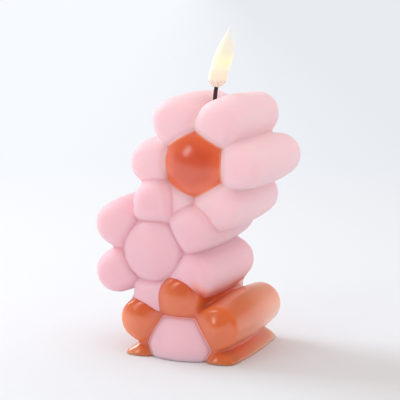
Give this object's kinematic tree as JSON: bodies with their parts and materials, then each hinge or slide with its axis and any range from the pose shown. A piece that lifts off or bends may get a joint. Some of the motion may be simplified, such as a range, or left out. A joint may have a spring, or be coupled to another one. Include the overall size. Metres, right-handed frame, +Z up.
{
  "type": "led flower candle",
  "caption": "Pink wax candle of stacked six-petal flowers with sprayed orange petals and centre, lit by a battery lamp in a resin flame.",
  "frame": {"origin": "bottom centre of the overall box, on the surface that the candle stands on", "axes": "+Z up, the flower faces look towards -Y, +X to their right"},
  "size_m": [0.1052, 0.0902, 0.1909],
  "materials": {
    "wax": "satin pink wax, with orange lacquer sprayed on the bottom petals and the top centre",
    "white_plastic": "moulded, fine texture",
    "black_plastic": "moulded, satin",
    "cell_jacket": "printed film sleeve, plain bands",
    "nickel": "nickel-plated steel strip",
    "spring_steel": "bright wire",
    "board": "green solder mask",
    "ceramic": "tan lacquered ceramic with colour bands",
    "red_sleeve": "soft wire sleeve",
    "black_sleeve": "soft wire sleeve",
    "copper": "enamelled wire",
    "wick": "blackened braid over a tube",
    "lamp_resin": "clear epoxy lens",
    "flame_resin": "milky translucent resin, lit from inside"
  },
  "bodies": {
    "candle": {"wax_body": "wax", "battery_tray": "white_plastic", "tray_cover": "white_plastic", "cover_screw_1": "spring_steel", "cover_screw_2": "spring_steel", "cell_left": "cell_jacket", "cell_right": "cell_jacket", "bridge_contact": "nickel", "bridge_spring": "spring_steel", "positive_contact": "nickel", "negative_contact": "nickel", "negative_spring": "spring_steel", "positive_wire": "red_sleeve", "negative_wire": "black_sleeve", "circuit_board": "board", "flicker_chip": "black_plastic", "capacitor": "black_plastic", "resistor": "ceramic", "switch_case": "spring_steel", "lead_wire_front": "copper", "lead_wire_rear": "copper", "wick_sleeve": "wick", "lamp": "lamp_resin", "flame_shell": "flame_resin"},
    "door": {"battery_door": "white_plastic"},
    "knob": {"switch_knob": "black_plastic"}
  },
  "joints": [
    {"name": "door_hinge", "type": "hinge", "parent": "candle", "child": "door", "pos_m": [-0.00441, 0.02099, 0.0013], "axis": [1, 0, 0], "range_deg": [0, 90]},
    {"name": "switch_slide", "type": "slide", "parent": "candle", "child": "knob", "axis": [0, -1, 0], "range_m": [0, 0.0036]}
  ]
}
